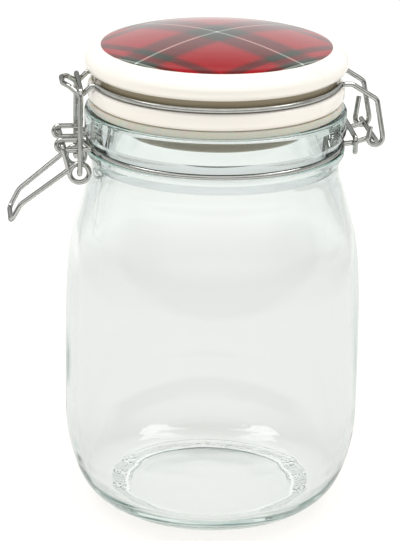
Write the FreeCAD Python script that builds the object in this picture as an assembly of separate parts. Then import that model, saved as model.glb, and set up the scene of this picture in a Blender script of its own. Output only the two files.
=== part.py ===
import FreeCAD, Part
import math
import os

V = FreeCAD.Vector
os.makedirs("parts", exist_ok=True)

# Clip-top storage jar. Millimetres, Z up, origin at the centre of the base on the jar's axis.
# The latch is on the -X side, the hinge on the +X side, and every pivot is parallel to Y.

# Wire and running clearances
wire_d = 1.85           # steel wire of the whole closure
seat_gap = 0.05         # wire lying in a groove
run_gap = 0.15          # round pin in a wire eye, and wires that pass side by side
hook_gap = 0.30         # latch bar above the nose that it holds down

# Glass body
body_r = 55.4           # widest radius
wall = 3.2              # wall of the body
floor_t = 6.2           # glass above the table at the middle of the base
heel_r = 19.0           # round of the heel, outside
heel_in_r = 15.0        # round of the heel, inside
flank_r = 63.6          # long curve from the heel up to the widest radius
flank_z = 36.0          # height where the body is first at its widest
barrel_z = 52.0         # height where it starts to draw in again
foot_w = 1.0            # width of the ring that it stands on
pushup_h = 2.4          # height of the hollow under the base
neck_z = 131.5          # height of the narrowest part of the neck
shoulder_shape = ((0.20, 0.99), (0.40, 0.945), (0.55, 0.86), (0.66, 0.73),
                  (0.76, 0.53), (0.86, 0.315), (0.93, 0.15))

# Glass mouth, heights above neck_z and radii
rim_r = 47.9            # band under the rim
mouth_wall = 8.7        # glass between the band and the clear mouth
neck_in = 2.4           # neck, this much inside the band
neck_wall = 4.2
bead_in = 0.4           # lower bead, this much inside the band
bead_up = 5.9           # height of the lower bead's lower edge
bead_h = 2.1
band_up = 12.9          # height of the band's lower edge
rim_up = 22.5           # height of the flat rim
rim_round = 1.5
mouth_round = 1.8

# Seal and glazed lid
seal_t = 2.8
seal_inset = 0.6        # seal edge inside the flange edge
seal_fit = 0.25         # seal round the collar
collar_gap = 2.0        # lid collar inside the mouth
collar_drop = 1.6       # collar below the rim
plug_gap = 3.85         # plug inside the mouth
plug_drop = 7.5         # plug below the rim
flange_in = 1.1         # flange inside the glass band
flange_h = 6.5
edge_round = 1.2
waist_h = 4.7           # groove that holds the lid wire
lid_wire_up = 0.25      # lid wire above the flange
waist_in = 2.3          # groove floor inside the flange edge
disc_r = 47.65
disc_under = 1.5        # lower edge of the top, inside its widest radius
disc_mid = 3.4          # height of the widest radius above the groove
disc_h = 8.4            # height of the printed field's edge above the groove
field_r = 41.9
dome_h = 4.6

# Closure, X and Z of each pivot and bend from the glass band and the neck ring
ring_in = 1.5           # neck ring centre line inside the band
pin_out = 9.1           # hinge pin beyond the band
pin_up = 2.6            # hinge pin above the neck ring
pin_half = 14.7         # half length of the hinge pin
strand_y = 9.0          # the two strands that carry the pin
hook_y = 13.0           # planes of the lid wire's two hooks
hook_r = 2.6            # centre line of a hook's round end
arm_lean = 1.4          # hook's outer leg leans in by this at the top
arm_top = 15.1          # top bend of the arm above the hinge pin
tail_rear = 8.4
tail_front = 4.2
eye_y = 9.0             # planes of the neck ring's two eyes
eye_out = 8.7           # eye centre beyond the band
eye_up = 1.6            # eye centre above the neck ring
eye_side = 0.20         # lever coil beside the eye
coil_r = 3.5
coil_dx = 6.1           # coil centre from the eye centre
coil_dz = -9.9
grip_dx = -15.1         # lever bend and end from the eye centre
grip_dz = -21.9
grip_y = 9.0
tip_dx = -18.7
tip_dz = -28.5
tip_y = 8.0
coil_side = 0.25        # link leg beside the coil
nose_y = 10.0           # half width of the nose where the link lies
bar_out = 2.1           # latch bar beyond the band
bar_drop = 0.9          # latch bar below the lid wire
nose_in = 0.4           # nose turns down this far outside the flange, at its own Y
nose_mid = 5.9          # nose bends beyond the band
nose_mid_y = 7.4
nose_mid_drop = 0.7     # below the lid wire
nose_len = 8.1          # nose end beyond the band
nose_end_y = 4.0
nose_end_drop = 0.2

wr = wire_d / 2.0
mouth_r = rim_r - mouth_wall
eye_r = wire_d + run_gap          # the lever's end turns inside the eye
lever_y = eye_y + wire_d + eye_side
link_y = lever_y + wire_d + coil_side
neck_r = rim_r - neck_in
bead_r = rim_r - bead_in
ring_r = rim_r - ring_in
groove_r = ring_r - wr - seat_gap
bead_z = neck_z + bead_up
ring_z = bead_z + bead_h + wr + 0.3
band_z = neck_z + band_up
rim_z = neck_z + rim_up
flange_r = rim_r - flange_in
flange_z = rim_z + seal_t
waist_z = flange_z + flange_h
disc_z = waist_z + waist_h
waist_r = flange_r - waist_in
lid_wire_r = waist_r + wr + seat_gap
lid_wire_z = waist_z + wr + lid_wire_up
collar_r = mouth_r - collar_gap
plug_r = mouth_r - plug_gap

pin_x = rim_r + pin_out
pin_z = ring_z + pin_up
eye_x = -(rim_r + eye_out)
eye_z = ring_z + eye_up
coil_x = eye_x + coil_dx
coil_z = eye_z + coil_dz
bar_x = -(rim_r + bar_out)
bar_z = lid_wire_z - bar_drop


def line(a, b):
    return Part.makeLine(V(a[0], 0, a[1]), V(b[0], 0, b[1]))


def arc(a, m, b):
    return Part.Arc(V(a[0], 0, a[1]), V(m[0], 0, m[1]), V(b[0], 0, b[1])).toShape()


def spline(points, start=None, end=None):
    curve = Part.BSplineCurve()
    pts = [V(p[0], 0, p[1]) for p in points]
    if start is None:
        curve.interpolate(pts)
    else:
        curve.interpolate(Points=pts, InitialTangent=V(start[0], 0, start[1]),
                          FinalTangent=V(end[0], 0, end[1]))
    return curve.toShape()


def revolve(edges):
    face = Part.Face(Part.Wire(edges))
    solid = face.revolve(V(0, 0, 0), V(0, 0, 1), 360)
    if solid.ShapeType != "Solid":
        solid = solid.Solids[0]
    if solid.Volume < 0:
        solid.reverse()
    return solid


def rounded(points, radii):
    """Edges of an open outline in the XZ plane, its corners rounded where radii says so."""
    path = round_corners([V(p[0], 0, p[1]) for p in points], radii)
    return path


def round_corners(pts, radii):
    """Straight runs joined by tangent arcs. radii holds one radius for each inner point."""
    starts = []
    ends = []
    mids = []
    for i in range(1, len(pts) - 1):
        p = pts[i]
        u = (pts[i - 1] - p)
        w = (pts[i + 1] - p)
        lu = u.Length
        lw = w.Length
        u.normalize()
        w.normalize()
        turn = math.pi - math.acos(max(-1.0, min(1.0, u.dot(w))))
        r = radii[i - 1]
        if r <= 0 or turn < 1e-4:
            starts.append(p)
            ends.append(p)
            mids.append(None)
            continue
        t = r * math.tan(turn / 2.0)
        t = min(t, lu * 0.999, lw * 0.999)
        r = t / math.tan(turn / 2.0)
        a = p + u * t
        b = p + w * t
        h = (u + w)
        h.normalize()
        centre = p + h * (r / math.cos(turn / 2.0))
        mids.append(centre - h * r)
        starts.append(a)
        ends.append(b)
    edges = []
    here = pts[0]
    for a, m, b in zip(starts, mids, ends):
        if (a - here).Length > 1e-4:
            edges.append(Part.LineSegment(here, a).toShape())
        if m is not None:
            edges.append(Part.Arc(a, m, b).toShape())
        here = b
    if (pts[-1] - here).Length > 1e-4:
        edges.append(Part.LineSegment(here, pts[-1]).toShape())
    return edges


def tube(edges, radius, name):
    """A round wire along tangent edges, its volume compared with section times length."""
    path = Part.Wire(edges)
    first = edges[0]
    start = first.valueAt(first.FirstParameter)
    aim = first.tangentAt(first.FirstParameter)
    ring = Part.Wire([Part.Circle(start, aim, radius).toShape()])
    solid = path.makePipeShell([ring], True, False)
    if solid.ShapeType != "Solid":
        solid = Part.makeSolid(solid)
    if solid.Volume < 0:
        solid.reverse()
    want = math.pi * radius * radius * path.Length
    share = solid.Volume / want
    print("%s: wire %.1f mm, volume ratio %.4f, valid %s" % (name, path.Length, share, solid.isValid()))
    return solid


def round_ring(radius, r, centre, axis):
    return Part.makeTorus(radius, r, centre, axis)


def rounded_end(point, r):
    return Part.makeSphere(r, point)


def save(name, shape):
    shape = shape.removeSplitter() if name in ("glass_jar", "lid", "gasket") else shape
    solids = shape.Solids
    box = shape.BoundBox
    print("%s: solids %d, valid %s, volume %.0f mm3, z %.2f to %.2f, x %.2f to %.2f" % (
        name, len(solids), shape.isValid(), shape.Volume, box.ZMin, box.ZMax, box.XMin, box.XMax))
    out = solids[0] if len(solids) == 1 else shape
    out.exportStep("parts/%s.step" % name)


def tangent_point(p, centre, r, side):
    """Where a line from p touches the circle of radius r about centre, in the XZ plane."""
    dx = p[0] - centre[0]
    dz = p[1] - centre[1]
    dist = math.hypot(dx, dz)
    base = math.atan2(dz, dx)
    off = math.acos(r / dist) * side
    return (centre[0] + r * math.cos(base + off), centre[1] + r * math.sin(base + off))


def meet(a, b, c, d):
    """Where the lines a-b and c-d cross, in the XZ plane."""
    ux, uz = b[0] - a[0], b[1] - a[1]
    vx, vz = d[0] - c[0], d[1] - c[1]
    k = ((c[0] - a[0]) * vz - (c[1] - a[1]) * vx) / (ux * vz - uz * vx)
    return (a[0] + ux * k, a[1] + uz * k)


# ---- glass jar --------------------------------------------------------------------------

def heel_and_flank(z0, small_r, inset):
    """Heel arc, then the long flank arc, up to the widest radius less inset."""
    big = flank_r - inset
    bx = body_r - flank_r
    dz = z0 + small_r - flank_z
    cx = bx + math.sqrt((big - small_r) ** 2 - dz * dz)
    cz = z0 + small_r
    ang = math.atan2(cz - flank_z, cx - bx)
    touch = (cx + small_r * math.cos(ang), cz + small_r * math.sin(ang))
    half = (ang - math.pi / 2.0) / 2.0
    mid1 = (cx + small_r * math.cos(half), cz + small_r * math.sin(half))
    mid2 = (bx + big * math.cos(ang / 2.0), flank_z + big * math.sin(ang / 2.0))
    return (cx, z0), mid1, touch, mid2, (bx + big, flank_z)


def shoulder(top_r, inset):
    wide = body_r - inset
    points = [(wide, barrel_z)]
    for up, out in shoulder_shape:
        points.append((top_r + (wide - top_r) * out, barrel_z + (neck_z - barrel_z) * up))
    points.append((top_r, neck_z))
    return spline(points, (0, 30), (0, 12))


def glass_outer():
    foot, m1, touch, m2, wide = heel_and_flank(0.0, heel_r, 0.0)
    inner_foot = foot[0] - foot_w
    edges = []
    edges.append(spline([(0, pushup_h), (inner_foot * 0.6, pushup_h - 0.25),
                         (inner_foot - 1.2, pushup_h - 0.9)]))
    edges.append(line((inner_foot - 1.2, pushup_h - 0.9), (inner_foot, 0)))
    edges.append(line((inner_foot, 0), foot))
    edges.append(arc(foot, m1, touch))
    edges.append(arc(touch, m2, wide))
    edges.append(line(wide, (body_r, barrel_z)))
    edges.append(shoulder(neck_r, 0.0))
    top = [(neck_r, neck_z), (neck_r, bead_z - 1.9), (bead_r, bead_z + 0.1), (bead_r, bead_z + bead_h),
           (groove_r, bead_z + bead_h + 0.25), (groove_r, ring_z + wr), (rim_r - 0.5, band_z - 0.2),
           (rim_r, band_z + 0.6), (rim_r, rim_z), (mouth_r + mouth_round + 0.1, rim_z), (0, rim_z)]
    edges += rounded(top[:-1], [2.0, 0.5, 0.5, 0.4, 0.9, 0.5, 0.8, rim_round])
    edges.append(line(top[-2], top[-1]))
    edges.append(line(top[-1], (0, pushup_h)))
    return revolve(edges)


def glass_inner():
    foot, m1, touch, m2, wide = heel_and_flank(floor_t, heel_in_r, wall)
    inside = body_r - wall
    edges = [line((0, floor_t), foot), arc(foot, m1, touch), arc(touch, m2, wide)]
    edges.append(line(wide, (inside, barrel_z)))
    edges.append(shoulder(neck_r - neck_wall, wall))
    top = [(neck_r - neck_wall, neck_z), (neck_r - neck_wall, neck_z + 3.0), (mouth_r, neck_z + 9.0),
           (mouth_r, rim_z - mouth_round)]
    edges += rounded(top, [6.0, 6.0])
    a = top[-1]
    b = (mouth_r + mouth_round, rim_z)
    k = mouth_round * (1.0 - math.cos(math.pi / 4.0))
    edges.append(arc(a, (mouth_r + k, rim_z - k), b))
    edges.append(line(b, (b[0], rim_z + 1.0)))
    edges.append(line((b[0], rim_z + 1.0), (0, rim_z + 1.0)))
    edges.append(line((0, rim_z + 1.0), (0, floor_t)))
    return revolve(edges)


save("glass_jar", glass_outer().cut(glass_inner()))

# ---- seal and lid -----------------------------------------------------------------------

seal_in = collar_r + seal_fit
seal_out = flange_r - seal_inset
ring_face = rounded([(seal_in, rim_z), (seal_out, rim_z), (seal_out, flange_z), (seal_in, flange_z)],
                    [0.5, 0.5])
ring_face.append(line((seal_in, flange_z), (seal_in, rim_z)))
save("gasket", revolve(ring_face))


def lid_solid():
    plug_z = rim_z - plug_drop
    collar_z = rim_z - collar_drop
    under_r = disc_r - disc_under
    outline = [(0, plug_z), (plug_r, plug_z), (plug_r, collar_z - 1.5), (collar_r, collar_z),
               (collar_r, flange_z), (flange_r, flange_z), (flange_r, waist_z), (waist_r, waist_z),
               (waist_r, disc_z), (under_r, disc_z)]
    edges = rounded(outline, [1.6, 1.0, 0.6, 0.0, edge_round, edge_round, 0.4, 0.8])
    edges.append(spline([(under_r, disc_z), (disc_r - 0.28, disc_z + disc_mid * 0.4),
                         (disc_r, disc_z + disc_mid), (disc_r - 1.5, disc_z + disc_h * 0.68),
                         (field_r, disc_z + disc_h)], (2.6, 0.9), (-6.5, 1.55)))
    top = disc_z + disc_h + dome_h
    reach = (field_r ** 2 + dome_h ** 2) / (2.0 * dome_h)
    half = math.asin(field_r / reach) / 2.0
    mid = (reach * math.sin(half), top - reach * (1.0 - math.cos(half)))
    edges.append(arc((field_r, disc_z + disc_h), mid, (0, top)))
    edges.append(line((0, top), (0, plug_z)))
    return revolve(edges)


save("lid", lid_solid())

# ---- lid wire: hooks, arms, ring in the groove and nose, one length of wire --------------

def on_ring(radius, z, deg):
    a = math.radians(deg)
    return V(radius * math.cos(a), radius * math.sin(a), z)


def ring_arc(radius, z, deg0, deg1):
    return Part.Arc(on_ring(radius, z, deg0), on_ring(radius, z, (deg0 + deg1) / 2.0),
                    on_ring(radius, z, deg1)).toShape()


def tangent_step(radius, z, deg, way, step):
    """A point past the end of a ring arc, along its tangent."""
    a = math.radians(deg)
    p = on_ring(radius, z, deg)
    return p + V(-math.sin(a), math.cos(a), 0) * (way * step)


arm_deg = math.degrees(math.asin((hook_y + 4.6) / lid_wire_r))
nose_deg = 180.0 - math.degrees(math.asin((nose_y + 4.0) / lid_wire_r))
hook_cz = pin_z - wire_d - 0.12 + hook_r


def arm_points(side, tail):
    """From the ring's end, over the flange, down to the hook round the pin and up its tail."""
    step = 4.2
    corner = tangent_step(lid_wire_r, lid_wire_z, side * arm_deg, -side, step)
    out_x = pin_x + hook_r
    pts = [on_ring(lid_wire_r, lid_wire_z, side * arm_deg), corner]
    pts.append(V(flange_r + 1.0, side * hook_y, lid_wire_z - 0.25))
    pts.append(V(out_x - arm_lean - 1.2, side * hook_y, pin_z + arm_top))
    pts.append(V(out_x, side * hook_y, hook_cz + 1.0))
    pts.append(V(out_x, side * hook_y, hook_cz - hook_r))
    pts.append(V(pin_x - hook_r, side * hook_y, hook_cz - hook_r))
    pts.append(V(pin_x - hook_r, side * hook_y, hook_cz + 0.6))
    pts.append(V(pin_x - hook_r + tail * 0.13, side * hook_y, hook_cz + tail))
    radii = [3.2, 3.0, 2.8, 6.0, hook_r, hook_r, 2.0]
    return pts, radii


def lid_wire_path():
    rear, radii = arm_points(1, tail_rear)
    edges = round_corners(rear[::-1], radii[::-1])
    edges.append(ring_arc(lid_wire_r, lid_wire_z, arm_deg, nose_deg))
    step = 3.6
    # the nose dips under the latch bar, round the bar's own centre
    dip = wire_d + hook_gap
    edge = (-math.sqrt(flange_r ** 2 - nose_y ** 2) - nose_in, lid_wire_z)
    mid = (-(rim_r + nose_mid), lid_wire_z - nose_mid_drop)
    touch_in = tangent_point(edge, (bar_x, bar_z), dip, -1)
    touch_out = tangent_point(mid, (bar_x, bar_z), dip, 1)
    seat = meet(edge, touch_in, mid, touch_out)
    nose = [on_ring(lid_wire_r, lid_wire_z, nose_deg),
            tangent_step(lid_wire_r, lid_wire_z, nose_deg, 1, step),
            V(edge[0], nose_y, edge[1]),
            V(seat[0], nose_y, seat[1]),
            V(mid[0], nose_mid_y, mid[1]),
            V(-(rim_r + nose_len), nose_end_y, lid_wire_z - nose_end_drop)]
    back = [V(p.x, -p.y, p.z) for p in nose[::-1]]
    edges += round_corners(nose + back, [2.6, 1.6, dip, 2.5, 2.8, 2.8, 2.5, dip, 1.6, 2.6])
    edges.append(ring_arc(lid_wire_r, lid_wire_z, 360.0 - nose_deg, 360.0 - arm_deg))
    front, radii = arm_points(-1, tail_front)
    edges += round_corners(front, radii)
    return edges


save("lid_wire", tube(lid_wire_path(), wr, "lid_wire"))

# ---- neck ring: ring in the glass groove, two eyes for the lever and the hinge pin --------

def neck_ring():
    shape = round_ring(ring_r, wr, V(0, 0, ring_z), V(0, 0, 1))
    start_x = -math.sqrt(ring_r ** 2 - eye_y ** 2)
    for side in (1, -1):
        y = side * eye_y
        top = V(-(rim_r + 2.8), y, eye_z + eye_r)
        pts = [V(start_x, y, ring_z), V(-(rim_r + 2.5), y, eye_z - eye_r), V(eye_x - eye_r, y, eye_z - eye_r),
               V(eye_x - eye_r, y, eye_z + eye_r), top]
        shape = shape.fuse(tube(round_corners(pts, [1.5, eye_r, eye_r]), wr, "eye"))
        back = [top, V(-(rim_r + 1.6), y, eye_z + eye_r - 0.3), V(start_x, y, ring_z)]
        shape = shape.fuse(tube(round_corners(back, [1.5]), wr, "eye back"))
        shape = shape.fuse(rounded_end(top, wr))
    strand_x = math.sqrt(ring_r ** 2 - strand_y ** 2)
    pin = tube(round_corners([V(pin_x, -pin_half, pin_z), V(pin_x, pin_half, pin_z)], []), wr, "pin")
    shape = shape.fuse(pin)
    for side in (1, -1):
        y = side * strand_y
        pts = [V(strand_x, y, ring_z), V(rim_r + 1.8, y, ring_z + 0.4), V(pin_x, y, pin_z)]
        shape = shape.fuse(tube(round_corners(pts, [3.0]), wr, "strand"))
    # the ring's closing end crosses beside the glass and hooks down over the front strand
    tie_x = rim_r + 2.2
    tie_z = ring_z + wire_d + 0.9
    pts = [V(tie_x - 0.8, strand_y, ring_z + 0.5), V(tie_x - 0.8, strand_y, tie_z + 2.0),
           V(tie_x, -(strand_y + wire_d), tie_z), V(tie_x, -(strand_y + wire_d), ring_z - 2.6)]
    tie = tube(round_corners(pts, [1.5, 1.6]), wr, "tie")
    shape = shape.fuse(tie)
    shape = shape.fuse(rounded_end(pts[-1], wr))
    return shape


save("neck_ring", neck_ring())

# ---- lever: grip, two coils, and the ends that turn in the neck ring's eyes ---------------

def lever():
    coil = (coil_x, coil_z)
    leg = tangent_point((eye_x, eye_z), coil, coil_r, 1)
    arm = tangent_point((eye_x + grip_dx, eye_z + grip_dz), coil, coil_r, -1)
    shape = None
    for side in (1, -1):
        y = side * lever_y
        end_y = side * (eye_y - wr - 0.6)
        pts = [V(eye_x, end_y, eye_z), V(eye_x, y, eye_z), V(leg[0], y, leg[1])]
        piece = tube(round_corners(pts, [1.05]), wr, "lever leg")
        shape = piece if shape is None else shape.fuse(piece)
        shape = shape.fuse(round_ring(coil_r, wr, V(coil_x, y, coil_z), V(0, 1, 0)))
    grip = []
    for side in (1, -1):
        half = [V(arm[0], side * lever_y, arm[1]),
                V(arm[0] - 3.0 * (arm[0] - eye_x - grip_dx) / 15.0, side * lever_y,
                  arm[1] - 3.0 * (arm[1] - eye_z - grip_dz) / 15.0),
                V(eye_x + grip_dx, side * grip_y, eye_z + grip_dz),
                V(eye_x + tip_dx, side * tip_y, eye_z + tip_dz)]
        grip += half if side == 1 else half[::-1]
    shape = shape.fuse(tube(round_corners(grip, [4.0, 5.0, 2.6, 2.6, 5.0, 4.0]), wr, "grip"))
    return shape


save("lever", lever())

# ---- link: bar over the nose, two legs, ends that turn in the lever's coils ---------------

def link():
    end_y = lever_y - wr - 0.7
    pts = [V(coil_x, end_y, coil_z), V(coil_x, link_y, coil_z), V(bar_x, link_y, bar_z),
           V(bar_x, -link_y, bar_z), V(coil_x, -link_y, coil_z), V(coil_x, -end_y, coil_z)]
    return tube(round_corners(pts, [1.1, 2.0, 2.0, 1.1]), wr, "link")



save("link", link())
print("hinge pin x %.2f z %.2f; eye x %.2f z %.2f; coil x %.2f z %.2f; bar x %.2f z %.2f" % (
    pin_x, pin_z, eye_x, eye_z, coil_x, coil_z, bar_x, bar_z))
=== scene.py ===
import math

import bmesh
import bpy
from mathutils import Matrix, Vector


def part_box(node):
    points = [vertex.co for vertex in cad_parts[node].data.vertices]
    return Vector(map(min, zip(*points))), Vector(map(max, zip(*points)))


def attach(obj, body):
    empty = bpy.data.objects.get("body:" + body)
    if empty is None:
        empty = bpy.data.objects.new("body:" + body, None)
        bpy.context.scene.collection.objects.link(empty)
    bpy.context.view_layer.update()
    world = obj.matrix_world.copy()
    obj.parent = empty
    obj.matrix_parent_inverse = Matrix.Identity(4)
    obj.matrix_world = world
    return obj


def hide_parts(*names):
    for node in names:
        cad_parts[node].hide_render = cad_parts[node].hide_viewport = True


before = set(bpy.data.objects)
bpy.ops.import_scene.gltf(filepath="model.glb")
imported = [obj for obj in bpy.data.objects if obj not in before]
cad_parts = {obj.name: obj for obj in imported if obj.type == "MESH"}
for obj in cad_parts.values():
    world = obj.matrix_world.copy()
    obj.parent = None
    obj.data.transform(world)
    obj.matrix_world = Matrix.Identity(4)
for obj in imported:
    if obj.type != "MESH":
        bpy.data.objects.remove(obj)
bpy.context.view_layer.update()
MM = 0.001


# ---- Glass jar ----------------------------------------------------------------------------
# A pressed and blown jar of soda-lime glass. The neck with its two beads and flat rim comes
# from the mould, the body is blown out of it, and the hollow under the base leaves a narrow
# ring for it to stand on. The edge of the bottom mould shows as a shallow groove in the heel.

def smooth_outline(points, resolution=7):
    """A profile in the XZ plane from (radius, height, corner) in mm. corner is None on a
    curve, 0 at a sharp corner, and a radius where the corner is rounded."""
    curve = bpy.data.curves.new("outline", "CURVE")
    curve.dimensions = "3D"
    curve.resolution_u = resolution
    spline = curve.splines.new("BEZIER")
    spline.bezier_points.add(len(points) - 1)
    for knot, (radius, height, corner) in zip(spline.bezier_points, points):
        knot.co = (radius, 0.0, height)
        kind = "AUTO" if corner is None else "VECTOR"
        knot.handle_left_type = kind
        knot.handle_right_type = kind
    holder = bpy.data.objects.new("outline", curve)
    bpy.context.scene.collection.objects.link(holder)
    bpy.context.view_layer.update()
    drawn = bpy.data.meshes.new_from_object(holder)
    bpy.data.objects.remove(holder)
    bm = bmesh.new()
    bm.from_mesh(drawn)
    bmesh.ops.remove_doubles(bm, verts=bm.verts, dist=1e-5)
    bmesh.ops.dissolve_limit(bm, angle_limit=math.radians(0.25), verts=bm.verts, edges=bm.edges)
    for radius, height, corner in points:
        if not corner:
            continue
        place = Vector((radius, 0.0, height))
        vert = min(bm.verts, key=lambda v: (v.co - place).length)
        ways = [(e.other_vert(vert).co - vert.co).normalized() for e in vert.link_edges]
        turn = math.pi - ways[0].angle(ways[1])
        bmesh.ops.bevel(bm, geom=[vert], offset=corner * math.tan(turn / 2), offset_type="OFFSET",
                        segments=6, profile=0.5, affect="VERTICES", material=-1)
    return bm


def turn_on_lathe(name, bm, steps, sharp=40.0):
    """Spins an outline about the jar's axis into a smooth-shaded piece."""
    bmesh.ops.spin(bm, geom=bm.verts[:] + bm.edges[:], cent=(0, 0, 0), axis=(0, 0, 1),
                   angle=math.tau, steps=steps, use_merge=True, use_duplicate=False)
    bmesh.ops.remove_doubles(bm, verts=bm.verts, dist=1e-4)
    bmesh.ops.scale(bm, vec=(MM, MM, MM), verts=bm.verts)
    bmesh.ops.recalc_face_normals(bm, faces=bm.faces)
    for face in bm.faces:
        face.smooth = True
    for edge in bm.edges:
        if len(edge.link_faces) == 2 and edge.calc_face_angle() > math.radians(sharp):
            edge.smooth = False
    mesh = bpy.data.meshes.new(name)
    bm.to_mesh(mesh)
    bm.free()
    piece = bpy.data.objects.new(name, mesh)
    bpy.context.scene.collection.objects.link(piece)
    return piece


def arc_knots(centre_r, centre_z, radius, low, high, count):
    """Curve points on an arc, its angles in degrees from straight out, turning upwards."""
    angles = [math.radians(low + (high - low) * i / (count - 1)) for i in range(count)]
    return [(centre_r + radius * math.cos(a), centre_z + radius * math.sin(a), None)
            for a in angles]


def linear(code):
    """An sRGB hex colour as the linear RGBA that a shader takes."""
    parts = [int(code[i:i + 2], 16) / 255 for i in (1, 3, 5)]
    return [c / 12.92 if c <= 0.04045 else ((c + 0.055) / 1.055) ** 2.4
            for c in parts] + [1.0]


def add(tree, kind, inputs=None, **settings):
    """A shader node with its settings, its values and the sockets that feed it."""
    new = tree.nodes.new("ShaderNode" + kind)
    for name, value in settings.items():
        setattr(new, name, value)
    for socket, value in (inputs or {}).items():
        if isinstance(value, bpy.types.NodeSocket):
            tree.links.new(value, new.inputs[socket])
        else:
            new.inputs[socket].default_value = value
    return new


def blank_material(name):
    material = bpy.data.materials.new(name)
    material.use_nodes = True
    material.node_tree.nodes.clear()
    return material, material.node_tree


def height_and_radius(tree, place):
    """Sockets for a point's height and for its distance from the jar's axis, in metres."""
    apart = add(tree, "SeparateXYZ", {"Vector": place})
    flat = add(tree, "VectorMath", {0: place, 1: (1, 1, 0)}, operation="MULTIPLY")
    out = add(tree, "VectorMath", {0: flat.outputs[0]}, operation="LENGTH")
    return apart.outputs["Z"], out.outputs["Value"]


# Sizes in millimetres. Heights are above the table, and radii are from the jar's axis.
jar_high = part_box("glass_jar")[1]
body_r = jar_high.x / MM
rim_z = jar_high.z / MM
wall = 3.2
neck_z = rim_z - 22.5
neck_r = 45.5
groove_r = 45.43
band_r = 47.9
bead_r = band_r - 0.4
mouth_r = 39.2
bore_r = 39.6
floor_z = 4.6
hollow_h = 1.05
heel_r = 19.0
inner_heel_r = 15.7
foot_w = 1.0
seam_out = 5.6
seam_half = 0.35
seam_deep = 0.15
flank_r = 63.6
flank_z = 36.0
barrel_z = 52.0
spin_steps = 160

# The shoulder's curve: how far up it a point lies, and how much of the width is left there.
shoulder = ((0.20, 0.99), (0.40, 0.945), (0.55, 0.86), (0.66, 0.73), (0.76, 0.53),
            (0.86, 0.315), (0.93, 0.15))


def heel_knots(low_z, round_r, inset):
    """The heel's round and the long curve of the flank, up to the widest radius."""
    big = flank_r - inset
    middle_r = body_r - flank_r
    drop = low_z + round_r - flank_z
    heel_centre = middle_r + math.sqrt((big - round_r) ** 2 - drop ** 2)
    meet = math.degrees(math.atan2(drop, heel_centre - middle_r))
    heel = arc_knots(heel_centre, low_z + round_r, round_r, -90, meet, 6)
    flank = arc_knots(middle_r, flank_z, big, meet, 0, 5)
    return heel + flank[1:], heel_centre


def shoulder_knots(top_r, inset):
    """The shoulder's curve, from the barrel up to the neck."""
    wide = body_r - inset
    knots = [(wide, barrel_z, None)]
    for up, left in shoulder:
        knots.append((top_r + (wide - top_r) * left, barrel_z + (neck_z - barrel_z) * up, None))
    return knots + [(top_r, neck_z, None)]


outside, foot_r = heel_knots(0.0, heel_r, 0.0)
inside, floor_r = heel_knots(floor_z, inner_heel_r, wall)

# The hollow under the base and the ring that it stands on.
outline = [(0, hollow_h, 0), (foot_r * 0.5, 0.92, None), (foot_r - 8.0, 0.62, None),
           (foot_r - 3.6, 0.45, None), (foot_r - 2.3, 0.40, 0.6), (foot_r - foot_w, 0, 0),
           (foot_r, 0, 0), outside[1]]
# The mould's groove, three points on the heel's round.
for step, cut in ((-seam_half, 0.0), (0.0, seam_deep), (seam_half, 0.0)):
    heel_out = seam_out + step
    heel_z = heel_r - math.sqrt(heel_r ** 2 - heel_out ** 2)
    outline.append((foot_r + heel_out, heel_z + cut, 0))
outline += outside[2:] + shoulder_knots(neck_r, 0.0)
# The lower bead, the wire's groove and the band under the rim.
outline += [(neck_r, neck_z + 2.4, 2.0), (bead_r, neck_z + 6.2, 0.8), (bead_r, neck_z + 8.0, 0.5),
            (groove_r, neck_z + 8.25, 0.35), (groove_r, neck_z + 9.6, 0.6),
            (band_r - 0.5, neck_z + 12.9, 0.8), (band_r, neck_z + 13.9, 0.8),
            (band_r, rim_z, 1.5)]
# Down the inside, from the mouth to the floor.
outline += [(mouth_r, rim_z, 1.8), (mouth_r, neck_z + 3.0, 4.0), (bore_r, neck_z, 0)]
outline += shoulder_knots(bore_r, wall)[::-1][1:] + inside[::-1][1:-1]
outline += [(floor_r, floor_z, 0), (0, floor_z, 0)]
glass_body = turn_on_lathe("glass_body", smooth_outline(outline), spin_steps)

# Soda-lime glass, fire-polished: IOR 1.52, no roughness. A trace of iron tints the thick
# parts grey-green, so the colour is in the depth of the glass and its skin is clear.
# Blowing leaves the wall a little uneven, about every 26 mm round it and 58 mm up it, which
# shows as slow ripples in what it mirrors. The heel is stippled from the ring that it stands
# on to the mould's groove, with dots about 0.8 mm apart.
glass, tree = blank_material("soda_lime_glass")
place = add(tree, "TexCoord").outputs["Object"]
stretched = add(tree, "Mapping", {"Vector": place, "Scale": (1.0, 1.0, 0.45)})
ripple = add(tree, "TexNoise", {"Vector": stretched.outputs["Vector"], "Scale": 38.0,
                                "Detail": 1.0})
bump = add(tree, "Bump", {"Height": ripple.outputs["Fac"], "Strength": 0.35, "Distance": 0.0012})
height, radius = height_and_radius(tree, place)
low = add(tree, "MapRange", {"Value": height, "From Min": 0.85 * MM, "From Max": 1.15 * MM,
                             "To Min": 1.0, "To Max": 0.0})
ring = add(tree, "MapRange", {"Value": radius, "From Min": (foot_r - 2.0) * MM,
                              "From Max": (foot_r - 0.5) * MM})
foot = add(tree, "Math", {0: low.outputs["Result"], 1: ring.outputs["Result"]},
           operation="MULTIPLY")
stipple = add(tree, "TexVoronoi", {"Vector": place, "Scale": 1200.0})
knurl = add(tree, "Math", {0: stipple.outputs["Distance"], 1: foot.outputs[0]},
            operation="MULTIPLY")
rough_foot = add(tree, "Bump", {"Height": knurl.outputs[0], "Strength": 0.6, "Distance": 0.0003,
                                "Normal": bump.outputs["Normal"]})
skin = add(tree, "BsdfPrincipled", {"Base Color": linear("#ffffff"), "Roughness": 0.0,
                                   "IOR": 1.52, "Transmission Weight": 1.0,
                                   "Normal": rough_foot.outputs["Normal"]})
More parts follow.
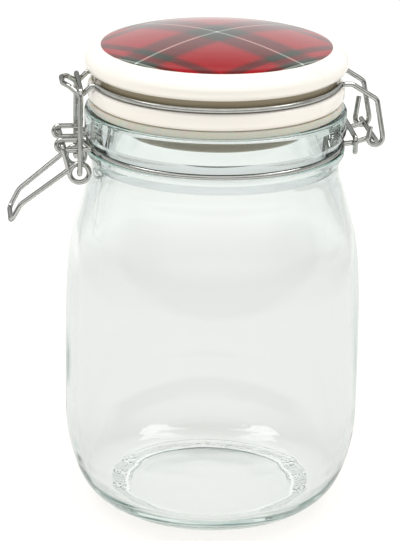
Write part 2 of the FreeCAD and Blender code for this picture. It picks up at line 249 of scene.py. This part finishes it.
depth = add(tree, "VolumeAbsorption", {"Color": linear("#00a292"), "Density": 14.0})
add(tree, "OutputMaterial", {"Surface": skin.outputs["BSDF"], "Volume": depth.outputs["Volume"]})
glass_body.data.materials.append(glass)
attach(glass_body, "jar")
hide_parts("glass_jar")


# ---- Closure wires ------------------------------------------------------------------------
# Steel wire 1.85 mm thick, nickel plated: the neck ring with the hinge pin, the lid's ring
# with its hooks and nose, the lever and the link. They keep the shapes they were bent to.

# Bright nickel on drawn steel: metallic and fairly glossy. The plating is cloudy about every
# 2.4 mm. The grain of plated wire is too fine to show, so it is drawn at 0.4 mm, and it
# breaks up what the wire mirrors.
wire, tree = blank_material("nickel_plated_steel_wire")
place = add(tree, "TexCoord").outputs["Object"]
cloud = add(tree, "TexNoise", {"Vector": place, "Scale": 420.0, "Detail": 3.0})
dull = add(tree, "MapRange", {"Value": cloud.outputs["Fac"], "To Min": 0.05, "To Max": 0.18})
shade = add(tree, "Mix", {"Factor": cloud.outputs["Fac"], "A": linear("#b4b5b1"),
                          "B": linear("#dbdcd8")}, data_type="RGBA")
grain = add(tree, "TexNoise", {"Vector": place, "Scale": 2600.0, "Detail": 2.0})
bump = add(tree, "Bump", {"Height": grain.outputs["Fac"], "Strength": 0.25, "Distance": 0.00004})
skin = add(tree, "BsdfPrincipled", {"Base Color": shade.outputs["Result"], "Metallic": 1.0,
                                   "Specular Tint": linear("#8a8a8a"),
                                   "Roughness": dull.outputs["Result"],
                                   "Normal": bump.outputs["Normal"]})
add(tree, "OutputMaterial", {"Surface": skin.outputs["BSDF"]})
for name in ("neck_ring", "lid_wire", "lever", "link"):
    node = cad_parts[name]
    node.data.materials.clear()
    node.data.materials.append(wire)


# ---- Rubber seal --------------------------------------------------------------------------
# A flat ring of translucent rubber, 2.8 mm thick, cut to lie on the rim under the lid.
seal_low, seal_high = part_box("gasket")
seal_round = 0.6
seal_r = seal_high.x / MM
seal_in = 37.45
seal_bottom = seal_low.z / MM
seal_top = seal_high.z / MM
outline = [(seal_in, seal_bottom, 0), (seal_r, seal_bottom, seal_round),
           (seal_r, seal_top, seal_round), (seal_in, seal_top, 0)]
bm = smooth_outline(outline)
# Its open inner side is closed before it is spun.
ends = [min(bm.verts, key=lambda v: (v.co - Vector((seal_in, 0, z))).length)
        for z in (seal_bottom, seal_top)]
bm.edges.new(ends)
seal = turn_on_lathe("rubber_seal", bm, spin_steps)

# Unfilled silicone rubber, moulded: a pale grey with a little yellow, matt, and light gets a
# little way in. Its skin has faint specks about 1 mm apart.
rubber, tree = blank_material("translucent_rubber")
place = add(tree, "TexCoord").outputs["Object"]
speck = add(tree, "TexNoise", {"Vector": place, "Scale": 900.0, "Detail": 2.0})
bump = add(tree, "Bump", {"Height": speck.outputs["Fac"], "Strength": 0.2, "Distance": 0.0001})
skin = add(tree, "BsdfPrincipled", {"Base Color": linear("#d3d1c3"), "Roughness": 0.42,
                                   "Subsurface Weight": 0.5, "Subsurface Scale": 0.004,
                                   "Normal": bump.outputs["Normal"]})
add(tree, "OutputMaterial", {"Surface": skin.outputs["BSDF"]})
seal.data.materials.append(rubber)
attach(seal, "cover")
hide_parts("gasket")


# ---- Ceramic lid --------------------------------------------------------------------------
# A cast and glazed lid: a plug that centres it in the mouth, a flange that presses on the
# seal, a groove for the wire and a domed top that carries the print.
lid_low, lid_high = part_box("lid")
plug_z = lid_low.z / MM
dome_z = lid_high.z / MM
top_r = lid_high.x / MM
plug_r = 35.35
step_r = 37.2
field_r = 41.9
dome_h = 4.6
flange_r = 46.8
flange_top = seal_top + 6.5
groove_top = flange_top + 4.7
waist_r = flange_r - 2.3
dome_r = (field_r ** 2 + dome_h ** 2) / (2 * dome_h)
dome_edge = 90 - math.degrees(math.asin(field_r / dome_r))
outline = [(0, plug_z, 0), (plug_r, plug_z, 1.6), (plug_r, rim_z - 3.1, 1.0),
           (step_r, rim_z - 1.6, 0.6), (step_r, seal_top, 0), (flange_r, seal_top, 2.4),
           (flange_r, flange_top, 1.9),
           (waist_r, flange_top, 0.5), (waist_r, groove_top, 0.8), (top_r - 1.5, groove_top, 0),
           (top_r - 0.28, groove_top + 1.36, None), (top_r, groove_top + 3.4, None),
           (top_r - 0.45, groove_top + 4.7, None), (top_r - 1.5, groove_top + 5.9, None),
           (top_r - 3.3, groove_top + 7.2, None)]
outline += arc_knots(0, dome_z - dome_r, dome_r, dome_edge, 90, 9)[:-1] + [(0, dome_z, 0)]
lid_body = turn_on_lathe("glazed_lid", smooth_outline(outline), spin_steps)

# Glazed earthenware with a transfer print under the glaze. The glaze is a glassy coat, so
# it mirrors at low angles and hides the colours towards the far edge. The body is a warm
# white with faint clouds, about 22 mm across, where the glaze lies thicker, and a skin that
# is uneven every 4 mm. Below the rim the plug is painted a darker buff as painted shade, and
# the groove is painted dark brown as painted shade.
glaze, tree = blank_material("glazed_earthenware")
place = add(tree, "TexCoord").outputs["Object"]
cloud = add(tree, "TexNoise", {"Vector": place, "Scale": 45.0, "Detail": 2.0})
coat = add(tree, "Mix", {"Factor": cloud.outputs["Fac"], "A": linear("#f6f2ea"),
                         "B": linear("#f0eae0")}, data_type="RGBA")

height, radius = height_and_radius(tree, place)
# Painted shade: below the rim the plug is painted a darker, warmer buff for the shade inside the
# glass mouth.
plug = add(tree, "MapRange", {"Value": height, "From Min": (rim_z - 0.4) * MM,
                              "From Max": (rim_z + 0.4) * MM, "To Min": 1.0, "To Max": 0.0})
body = add(tree, "Mix", {"Factor": plug.outputs["Result"], "A": coat.outputs["Result"],
                         "B": linear("#e6d8c0")}, data_type="RGBA")

# Painted shade: deep in the groove, between the flange and the top, the glaze is painted dark
# brown where the disc and the wire shade it.
dip = add(tree, "MapRange", {"Value": radius, "From Min": (waist_r + 0.3) * MM,
                             "From Max": (waist_r + 1.2) * MM, "To Min": 1.0, "To Max": 0.0})
over_flange = add(tree, "Math", {0: height, 1: (flange_top - 0.1) * MM},
                  operation="GREATER_THAN")
under_top = add(tree, "Math", {0: height, 1: (groove_top - 0.5) * MM}, operation="LESS_THAN")
waist = add(tree, "Math", {0: over_flange.outputs[0], 1: under_top.outputs[0]},
            operation="MULTIPLY")
painted_groove_shade = add(tree, "Math", {0: waist.outputs[0], 1: dip.outputs["Result"]}, operation="MULTIPLY")
body = add(tree, "Mix", {"Factor": painted_groove_shade.outputs[0], "A": body.outputs["Result"],
                         "B": linear("#8b8067")}, data_type="RGBA")

# The check: red and green stripes with white lines, crossed at right angles and printed at 40
# and 50 degrees to the line from latch to hinge. Its white lines are 40.8 mm apart, and one
# pair crosses on the lid's middle. Each stop is in millimetres from that pair, and the ramp
# ends past the edge of the print.
repeat = 40.8 * MM
ramp_end = repeat * 1.2
turned = add(tree, "Mapping", {"Vector": place, "Rotation": (0, 0, math.radians(-39.75))})
green = linear("#2b2f23")
red = linear("#980c16")
white = linear("#c9d8cb")
stops = ((0.0, white), (0.35, white), (0.6, green), (7.2, green), (10.6, red), (28.9, red),
         (31.0, green), (33.8, green), (34.6, red), (37.6, red), (38.5, green), (40.2, green),
         (40.45, white), (41.15, white), (41.4, green))
across = add(tree, "SeparateXYZ", {"Vector": turned.outputs["Vector"]})
thread = {}
for axis in ("X", "Y"):
    side = add(tree, "Math", {0: across.outputs[axis]}, operation="ABSOLUTE")
    share = add(tree, "Math", {0: side.outputs[0], 1: ramp_end}, operation="DIVIDE")
    sett = add(tree, "ValToRGB", {"Fac": share.outputs[0]})
    ramp = sett.color_ramp
    for number, (distance, colour) in enumerate(stops):
        stop = ramp.elements[number] if number < 2 else ramp.elements.new(1.0)
        stop.position = distance * MM / ramp_end
        stop.color = colour
    thread[axis] = sett.outputs["Color"]
# The printed twill, in diagonal lines about 1.3 mm apart. It shares out the two crossed
# stripes, and each also darkens the other.
weave = add(tree, "TexWave", {"Vector": turned.outputs["Vector"], "Scale": 340.0},
            bands_direction="DIAGONAL")
over = add(tree, "MapRange", {"Value": weave.outputs["Fac"], "To Min": 0.38, "To Max": 0.62})
check = add(tree, "Mix", {"Factor": over.outputs["Result"], "A": thread["X"],
                          "B": thread["Y"]}, data_type="RGBA")
for axis in ("X", "Y"):
    check = add(tree, "Mix", {"Factor": 0.36, "A": check.outputs["Result"], "B": thread[axis]},
                data_type="RGBA", blend_type="DARKEN")

# The transfer is a round sheet that stops at the edge of the dome.
edge = add(tree, "MapRange", {"Value": radius, "From Min": (field_r - 0.15) * MM,
                              "From Max": (field_r + 0.15) * MM, "To Min": 1.0, "To Max": 0.0})
above = add(tree, "Math", {0: height, 1: (groove_top + 4) * MM}, operation="GREATER_THAN")
printed = add(tree, "Math", {0: edge.outputs["Result"], 1: above.outputs[0]},
              operation="MULTIPLY")
colour = add(tree, "Mix", {"Factor": printed.outputs[0], "A": body.outputs["Result"],
                           "B": check.outputs["Result"]}, data_type="RGBA")
orange = add(tree, "TexNoise", {"Vector": place, "Scale": 260.0, "Detail": 1.0})
bump = add(tree, "Bump", {"Height": orange.outputs["Fac"], "Strength": 0.12, "Distance": 0.0002})
skin = add(tree, "BsdfPrincipled", {"Base Color": colour.outputs["Result"], "Roughness": 0.13,
                                   "IOR": 1.52, "Normal": bump.outputs["Normal"]})
add(tree, "OutputMaterial", {"Surface": skin.outputs["BSDF"]})
lid_body.data.materials.append(glaze)
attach(lid_body, "cover")
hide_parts("lid")


# ---- Floor, backdrop and light ------------------------------------------------------------
# A plain white table in a white room, under two soft lamps. What shines or is clear sees it
# darker than the eye does close by, about as bright further back, brighter under the jar, and
# black from half a metre in front. Matt surfaces are lit by it at full strength.
bm = bmesh.new()
bmesh.ops.create_grid(bm, x_segments=1, y_segments=1, size=4.0)
mesh = bpy.data.meshes.new("table_top")
bm.to_mesh(mesh)
bm.free()
table = bpy.data.objects.new("table_top", mesh)
bpy.context.scene.collection.objects.link(table)

paper, tree = blank_material("white_paper")
path = add(tree, "LightPath")
place = add(tree, "TexCoord").outputs["Object"]
along = add(tree, "SeparateXYZ", {"Vector": place})
near = add(tree, "MapRange", {"Value": along.outputs["Y"], "From Min": -0.50, "From Max": -0.46,
                              "To Min": 0.0, "To Max": 0.62})
mirror = add(tree, "Math", {0: path.outputs["Is Glossy Ray"],
                            1: path.outputs["Is Transmission Ray"]}, operation="MAXIMUM")
across = add(tree, "Math", {0: along.outputs["X"]}, operation="ABSOLUTE")
width = add(tree, "MapRange", {"Value": across.outputs[0], "From Min": 0.38, "From Max": 0.46,
                               "To Min": 1.0, "To Max": 0.7})
sheet = add(tree, "Math", {0: near.outputs["Result"], 1: width.outputs["Result"]},
            operation="MULTIPLY")
away = add(tree, "VectorMath", {0: place}, operation="LENGTH")
# Painted light: a pool of light on the table under the jar, for the light that the glass gathers
# there.
painted_pool_of_light = add(tree, "MapRange", {"Value": away.outputs["Value"], "From Min": 0.040, "From Max": 0.056,
                              "To Min": 0.26, "To Max": 0.0})
far = add(tree, "MapRange", {"Value": along.outputs["Y"], "From Min": 0.31, "From Max": 0.46,
                             "To Min": 0.0, "To Max": 0.20})
extra = add(tree, "Math", {0: far.outputs["Result"], 1: painted_pool_of_light.outputs["Result"]},
            operation="ADD")
bright = add(tree, "Math", {0: sheet.outputs[0], 1: extra.outputs[0]}, operation="ADD")
shown = add(tree, "Math", {0: mirror.outputs[0], 1: bright.outputs[0]}, operation="MULTIPLY")
seen = add(tree, "Math", {0: path.outputs["Is Camera Ray"], 1: 0.84}, operation="MULTIPLY")
lift = add(tree, "Math", {0: shown.outputs[0], 1: path.outputs["Is Diffuse Ray"]},
           operation="MAXIMUM")
strength = add(tree, "Math", {0: lift.outputs[0], 1: seen.outputs[0]}, operation="MAXIMUM")
matt = add(tree, "BsdfDiffuse", {"Color": (0.25, 0.25, 0.25, 1.0)})
glow = add(tree, "Emission", {"Color": (1.0, 0.985, 0.945, 1.0),
                              "Strength": strength.outputs[0]})
both = add(tree, "AddShader", {0: matt.outputs[0], 1: glow.outputs[0]})
add(tree, "OutputMaterial", {"Surface": both.outputs[0]})
mesh.materials.append(paper)

# The room that shiny and clear things see: white, a little dimmer at the sides, dark low in
# front and, for what shines, dim high up behind. The eye sees plain white all round, and
# matt surfaces get a fill that is strongest from the front.
world = bpy.data.worlds.new("studio")
bpy.context.scene.world = world
world.use_nodes = True
tree = world.node_tree
tree.nodes.clear()
path = add(tree, "LightPath")
way = add(tree, "SeparateXYZ", {"Vector": add(tree, "TexCoord").outputs["Generated"]})
behind = add(tree, "MapRange", {"Value": way.outputs["Y"], "From Min": -0.20, "From Max": 0.05,
                                "To Min": 0.0, "To Max": 1.0})
above = add(tree, "MapRange", {"Value": way.outputs["Z"], "From Min": 0.12, "From Max": 0.22,
                               "To Min": 0.15, "To Max": 1.0})
walls = add(tree, "Math", {0: behind.outputs["Result"], 1: above.outputs["Result"]},
            operation="MAXIMUM")
ceiling = add(tree, "MapRange", {"Value": way.outputs["Z"], "From Min": 0.42, "From Max": 0.66,
                                 "To Min": 0.90, "To Max": 0.14})
front = add(tree, "MapRange", {"Value": way.outputs["Y"], "From Min": -0.25, "From Max": -0.05,
                               "To Min": 0.95, "To Max": 0.0})
through = add(tree, "Math", {0: path.outputs["Is Transmission Ray"], 1: 0.90},
              operation="MULTIPLY")
high = add(tree, "Math", {0: ceiling.outputs["Result"], 1: front.outputs["Result"]},
           operation="MAXIMUM")
higher = add(tree, "Math", {0: high.outputs[0], 1: through.outputs[0]}, operation="MAXIMUM")
across = add(tree, "Math", {0: way.outputs["X"]}, operation="ABSOLUTE")
sides = add(tree, "MapRange", {"Value": across.outputs[0], "From Min": 0.65, "From Max": 0.90,
                               "To Min": 1.0, "To Max": 0.68})
open_walls = add(tree, "Math", {0: walls.outputs[0], 1: sides.outputs["Result"]},
                 operation="MULTIPLY")
room = add(tree, "Math", {0: open_walls.outputs[0], 1: higher.outputs[0]}, operation="MULTIPLY")
fill = add(tree, "MapRange", {"Value": way.outputs["Y"], "From Min": -1.0, "From Max": 0.2,
                              "To Min": 1.05, "To Max": 0.58})
soft = add(tree, "Math", {0: path.outputs["Is Diffuse Ray"], 1: fill.outputs["Result"]},
           operation="MULTIPLY")
lit = add(tree, "Math", {0: room.outputs[0], 1: soft.outputs[0]}, operation="MAXIMUM")
clear = add(tree, "Math", {0: path.outputs["Is Camera Ray"], 1: lit.outputs[0]},
            operation="MAXIMUM")
backdrop = add(tree, "Background", {"Color": linear("#ffffff"), "Strength": clear.outputs[0]})
add(tree, "OutputWorld", {"Surface": backdrop.outputs[0]})

# Two soft lamps over the jar, one each side, 0.38 by 0.58 m and 3.8 W. They are turned
# 7 degrees about the jar, square to the camera.
rig_turn = Matrix.Rotation(math.radians(-7.0), 4, "Z")
middle = Vector((0, 0, 0.09))
for name, side in (("left_softbox", -0.42), ("right_softbox", 0.44)):
    lamp = bpy.data.lights.new(name, "AREA")
    lamp.shape = "RECTANGLE"
    lamp.size = 0.38
    lamp.size_y = 0.58
    lamp.energy = 3.8
    holder = bpy.data.objects.new(name, lamp)
    hung = Vector((side, 0.04, 1.02))
    facing = (middle - hung).to_track_quat("-Z", "Y")
    holder.matrix_world = rig_turn @ Matrix.Translation(hung) @ facing.to_matrix().to_4x4()
    bpy.context.scene.collection.objects.link(holder)


# ---- Camera -------------------------------------------------------------------------------
# A long lens, above the jar and looking 20 degrees down on it, from 7 degrees round towards
# the latch.
lens = bpy.data.cameras.new("camera")
lens.sensor_width = 36.0
lens.lens = 143.445
camera = bpy.data.objects.new("camera", lens)
tip = Matrix.Rotation(math.radians(90 - 20.065), 4, "X")
roll = Matrix.Rotation(math.radians(0.86), 4, "Z")
stand = Matrix.Translation((-0.09724, -0.75218, 0.36647))
camera.matrix_world = stand @ rig_turn @ tip @ roll
bpy.context.scene.collection.objects.link(camera)
bpy.context.scene.camera = camera
bpy.context.scene.view_settings.view_transform = "Standard"
# Light turns many times inside the thick heel and rim before it leaves.
bpy.context.scene.cycles.max_bounces = 32
bpy.context.scene.cycles.glossy_bounces = 24
bpy.context.scene.cycles.transmission_bounces = 32
